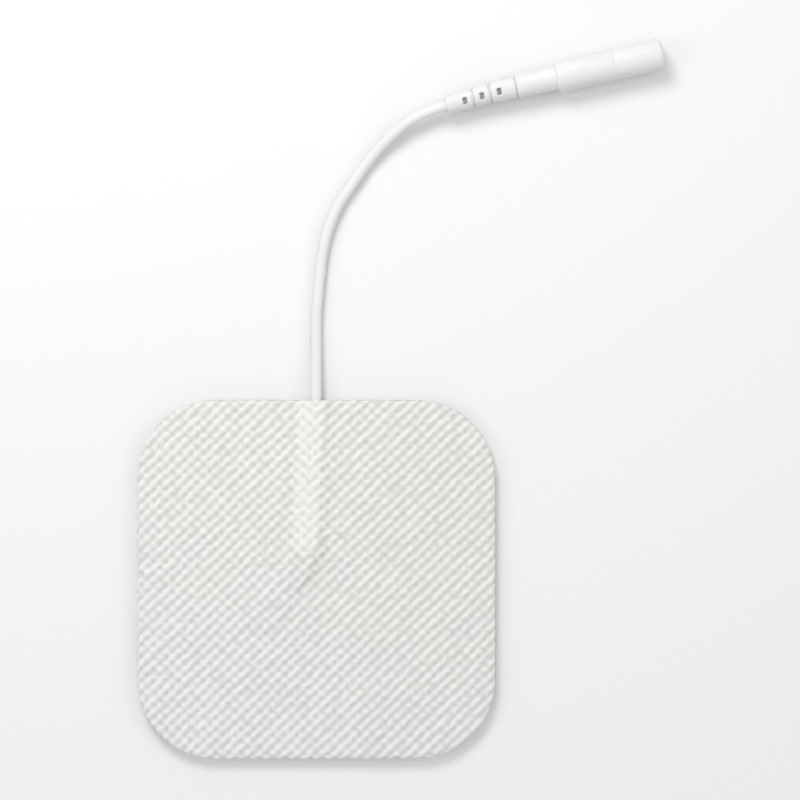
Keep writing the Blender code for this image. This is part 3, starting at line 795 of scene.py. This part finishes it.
def shell_profile():
    profile = []
    round_corner(profile, (BODY_RADIUS - FRONT_ROUNDING, SOCKET_LENGTH - FRONT_ROUNDING),
                 FRONT_ROUNDING, 90, 0)
    for drop, rise in REAR_RING:
        profile.append((BODY_RADIUS - drop * MM, REAR_END + rise * MM))
    round_corner(profile, (BODY_RADIUS - REAR_ROUNDING, NECK_END + REAR_ROUNDING),
                 REAR_ROUNDING, 0, -90)
    round_corner(profile, (NECK_RADIUS + SOFT_EDGE, NECK_END - SOFT_EDGE), SOFT_EDGE, 90, 180, 3)
    groove_radius = RELIEF_END_RADIUS - NECK_GROOVE_DEPTH
    profile += [(NECK_RADIUS, RELIEF_LENGTH + 0.3 * MM),
                (NECK_RADIUS - SHARP_EDGE, RELIEF_LENGTH + 0.2 * MM),
                (groove_radius, RELIEF_LENGTH + 0.14 * MM),
                (groove_radius, RELIEF_LENGTH - 0.04 * MM),
                (RELIEF_END_RADIUS - SHARP_EDGE, RELIEF_LENGTH - 0.09 * MM)]
    for row in range(RELIEF_ROWS - 2, 1, -1):
        share = row / RELIEF_ROWS
        z = share * RELIEF_LENGTH
        radius = mix(RELIEF_START_RADIUS, RELIEF_END_RADIUS, share) - groove_depth(z)
        profile.append((radius, z))
    round_corner(profile, (RELIEF_START_RADIUS - SOFT_EDGE, SOFT_EDGE), SOFT_EDGE, 0, -90, 3)
    for row in range(BORE_ROWS + 1):
        profile.append((LEAD_BORE, row / BORE_ROWS * RELIEF_LENGTH))
    cavity_start = BARREL_START - BARREL_CLEARANCE
    profile += [(LEAD_BORE, cavity_start), (CONTACT_CAVITY, cavity_start),
                (CONTACT_CAVITY, CAVITY_END), (MOUTH_RADIUS, CAVITY_END),
                (MOUTH_RADIUS, SOCKET_LENGTH - MOUTH_CHAMFER)]
    round_corner(profile, (MOUTH_RADIUS + MOUTH_CHAMFER, SOCKET_LENGTH - MOUTH_CHAMFER),
                 MOUTH_CHAMFER, 180, 90, 3)
    return profile


def box_cutter(size, place):
    mesh = bpy.data.meshes.new("cutter")
    bm = bmesh.new()
    place = Matrix.Translation(place) @ Matrix.Diagonal((*size, 1))
    bmesh.ops.create_cube(bm, size=1.0, matrix=place)
    bmesh.ops.bevel(bm, geom=bm.edges[:], offset=SOFT_EDGE, segments=3, affect="EDGES", profile=0.5)
    bm.to_mesh(mesh)
    bm.free()
    cutter = bpy.data.objects.new("cutter", mesh)
    bpy.context.scene.collection.objects.link(cutter)
    return cutter


def cut_and_remove(obj, cutters):
    for cutter in cutters:
        boolean = obj.modifiers.new("cut", "BOOLEAN")
        boolean.operation = "DIFFERENCE"
        boolean.solver = "EXACT"
        boolean.object = cutter
    graph = bpy.context.evaluated_depsgraph_get()
    mesh = bpy.data.meshes.new_from_object(obj.evaluated_get(graph))
    obj.modifiers.clear()
    obj.data = mesh
    for cutter in cutters:
        bpy.data.objects.remove(cutter, do_unlink=True)


def shell_piece(mat):
    mesh = turned_mesh("socket_moulding", shell_profile(), SHELL_STEPS)
    shell = add_piece("socket_moulding", mesh, [mat])
    across = 2.4 * BODY_RADIUS
    cutters = []
    for index in range(WINDOW_COUNT):
        size = (across, WINDOW_WIDTH, WINDOW_LENGTH)
        if index % 2:
            size = (WINDOW_WIDTH, across, WINDOW_LENGTH)
        cutter = box_cutter(size, Vector((0.0, 0.0, WINDOW_START + index * WINDOW_PITCH)))
        cutter.data.transform(Matrix.Rotation(WINDOW_TURN, 4, "Z"))
        cutters.append(cutter)
    cut_and_remove(shell, cutters)
    # How far each point lies below the relief's outer surface, for the painted shade in its
    # recesses.
    recess_shade = shell.data.attributes.new("recess_shade", "FLOAT", "POINT").data
    for vert, value in zip(shell.data.vertices, recess_shade):
        outer = mix(RELIEF_START_RADIUS, RELIEF_END_RADIUS, vert.co.z / RELIEF_LENGTH)
        if vert.co.z < RELIEF_LENGTH + RECESS_MARGIN:
            depth = outer - math.hypot(vert.co.x, vert.co.y)
            value.value = min(max(depth / RECESS_DEPTH, 0.0), 1.0)
        vert.co.y += relief_bow(vert.co.z)
    shell.data.transform(socket_frame())
    shell.data.shade_smooth()
    shell.data.set_sharp_from_angle(angle=TURNED_SHARP_ANGLE)
    return shell


def contact_piece(mat):
    crimp_end = CRIMP_START + CRIMP_DEPTH
    bore_end = CONTACT_TIP - PIN_BORE_DEPTH
    profile = [(CONTACT_RADIUS - CONTACT_EDGE, CONTACT_TIP),
               (CONTACT_RADIUS, CONTACT_TIP - CONTACT_EDGE),
               (CONTACT_RADIUS, BARREL_START), (CRIMP_RADIUS, BARREL_START),
               (CRIMP_RADIUS, CRIMP_START), (CRIMP_BORE, CRIMP_START),
               (CRIMP_BORE, crimp_end), (0.0, crimp_end), (0.0, bore_end), (CONTACT_BORE, bore_end),
               (CONTACT_BORE, CONTACT_TIP - CONTACT_LEAD_IN),
               (CONTACT_BORE + CONTACT_EDGE, CONTACT_TIP)]
    mesh = turned_mesh("socket_contact", profile, CONTACT_STEPS)
    contact = add_piece("socket_contact", mesh, [mat])
    across = 4 * CONTACT_RADIUS
    tip = Vector((0.0, 0.0, CONTACT_TIP))
    slits = [box_cutter((across, SLIT_WIDTH, 2 * SLIT_DEPTH), tip),
             box_cutter((SLIT_WIDTH, across, 2 * SLIT_DEPTH), tip)]
    cut_and_remove(contact, slits)
    contact.data.transform(socket_frame())
    contact.data.shade_smooth()
    contact.data.set_sharp_from_angle(angle=TURNED_SHARP_ANGLE)
    return contact


def floor_piece():
    mesh = bpy.data.meshes.new("studio_floor")
    bm = bmesh.new()
    bmesh.ops.create_grid(bm, x_segments=4, y_segments=4, size=FLOOR_END)
    bm.to_mesh(mesh)
    bm.free()
    floor = add_piece("studio_floor", mesh, [floor_material()])
    floor.location = (*VIEW_CENTER, -FLOOR_DROP)


def soft_light(name, azimuth, elevation, distance, size, power):
    light = bpy.data.lights.new(name, "AREA")
    light.shape = "DISK"
    light.size = size
    light.energy = power
    obj = bpy.data.objects.new(name, light)
    bpy.context.scene.collection.objects.link(obj)
    azimuth = math.radians(azimuth)
    elevation = math.radians(elevation)
    away = Vector((math.cos(azimuth) * math.cos(elevation),
                   math.sin(azimuth) * math.cos(elevation), math.sin(elevation)))
    obj.location = Vector((*VIEW_CENTER, 0.0)) + away * distance
    obj.rotation_euler = away.to_track_quat("Z", "Y").to_euler()


def studio():
    world = bpy.data.worlds.new("studio")
    bpy.context.scene.world = world
    world.use_nodes = True
    tree = world.node_tree
    background = tree.nodes["Background"]
    background.inputs["Color"].default_value = (1.0, 1.0, 1.0, 1.0)
    direction = tree.nodes.new("ShaderNodeSeparateXYZ")
    tree.links.new(tree.nodes.new("ShaderNodeTexCoord").outputs["Generated"], direction.inputs[0])
    dome = tree.nodes.new("ShaderNodeMapRange")
    dome.inputs["To Min"].default_value = AMBIENT_HORIZON
    dome.inputs["To Max"].default_value = AMBIENT_ZENITH
    tree.links.new(direction.outputs["Z"], dome.inputs["Value"])
    strength = tree.nodes.new("ShaderNodeMapRange")
    tree.links.new(dome.outputs[0], strength.inputs["To Min"])
    tree.links.new(seen_directly(tree), strength.inputs["Value"])
    tree.links.new(strength.outputs[0], background.inputs["Strength"])
    for name, values in LAMPS.items():
        soft_light(name, *values)
    bpy.context.scene.view_settings.view_transform = "Standard"


def dress_node(name, mat):
    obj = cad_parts[name]
    obj.data.materials.clear()
    obj.data.materials.append(mat)


camera()
lead_mat = plastic_material("lead_pvc", 0.92, 0.004, 0.4, 0.3 * MM, "lead")
moulded_mat = plastic_material("moulded_pvc", 0.94, 0.0, 0.45, 0.2 * MM, "moulding")
nickel_mat = metal_material("nickel_plate", (0.78, 0.76, 0.72), 0.22, 0.1 * MM)
tinned_mat = metal_material("tinned_copper", (0.75, 0.72, 0.68), 0.35, 0.1 * MM)

lead, lead_length = lead_piece(lead_mat)
shell = shell_piece(moulded_mat)
contact = contact_piece(nickel_mat)
cloth = cloth_piece(cloth_material())
gel = gel_piece(gel_material())
dress_node("carbon_film", film_material())
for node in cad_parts:
    if node.startswith("strand_") or node == "conductor_end":
        dress_node(node, tinned_mat)
floor_piece()
studio()

for piece, node, slot in ((lead, "lead_jacket", "lead_pvc"),
                          (shell, "connector_shell", "moulded_pvc"),
                          (contact, "contact_socket", "nickel_plate"),
                          (cloth, "backing_cloth", "backing_cloth"),
                          (gel, "gel_layer", "hydrogel")):
    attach(piece, "root")
    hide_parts(node)
